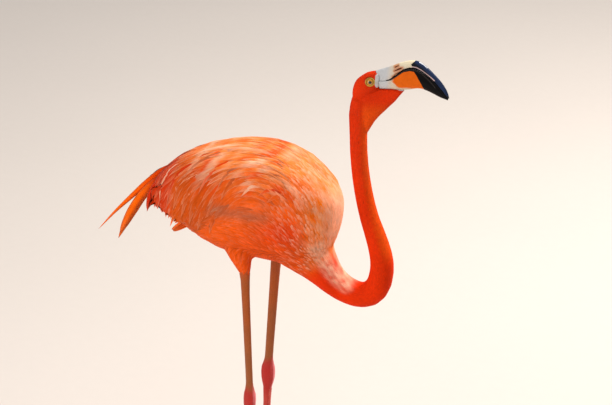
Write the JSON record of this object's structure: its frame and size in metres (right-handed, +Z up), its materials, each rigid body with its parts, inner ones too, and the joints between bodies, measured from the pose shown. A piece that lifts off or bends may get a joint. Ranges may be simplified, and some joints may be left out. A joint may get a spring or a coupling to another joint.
{
  "type": "flamingo",
  "caption": "Life-size standing flamingo, a still model with its neck in a low loop, its head raised and its wings folded.",
  "frame": {"origin": "on the floor below the middle of the model's bounding box", "axes": "+X the way the bird faces, +Y towards the bird's left, +Z up"},
  "size_m": [0.677, 0.236, 0.9748],
  "materials": {
    "plumage": "matte",
    "plumage_red": "matte",
    "primaries": "satin",
    "bill_pale": "satin",
    "bill_dark": "satin",
    "eye": "gloss",
    "shank": "satin",
    "leg": "satin",
    "claw": "satin"
  },
  "bodies": {
    "root": {"head": "plumage_red", "upper_bill": "bill_pale", "lower_bill": "bill_dark", "eye_right": "eye", "eye_left": "eye", "trunk": "plumage", "wing_right": "plumage", "wing_left": "plumage", "neck_lower": "plumage_red", "neck_middle": "plumage_red", "neck_upper": "plumage_red", "plume_left_long": "plumage", "plume_left_broad": "plumage", "plume_middle": "plumage", "primaries_right": "primaries", "primaries_left": "primaries", "tail": "plumage_red", "thigh_right": "plumage", "shank_right": "shank", "ankle_right": "leg", "tarsus_right": "leg", "foot_right": "leg", "claw_inner_right": "claw", "claw_middle_right": "claw", "claw_outer_right": "claw", "claw_hind_right": "claw", "thigh_left": "plumage", "shank_left": "shank", "ankle_left": "leg", "tarsus_left": "leg", "foot_left": "leg", "claw_inner_left": "claw", "claw_middle_left": "claw", "claw_outer_left": "claw", "claw_hind_left": "claw"}
  },
  "joints": []
}
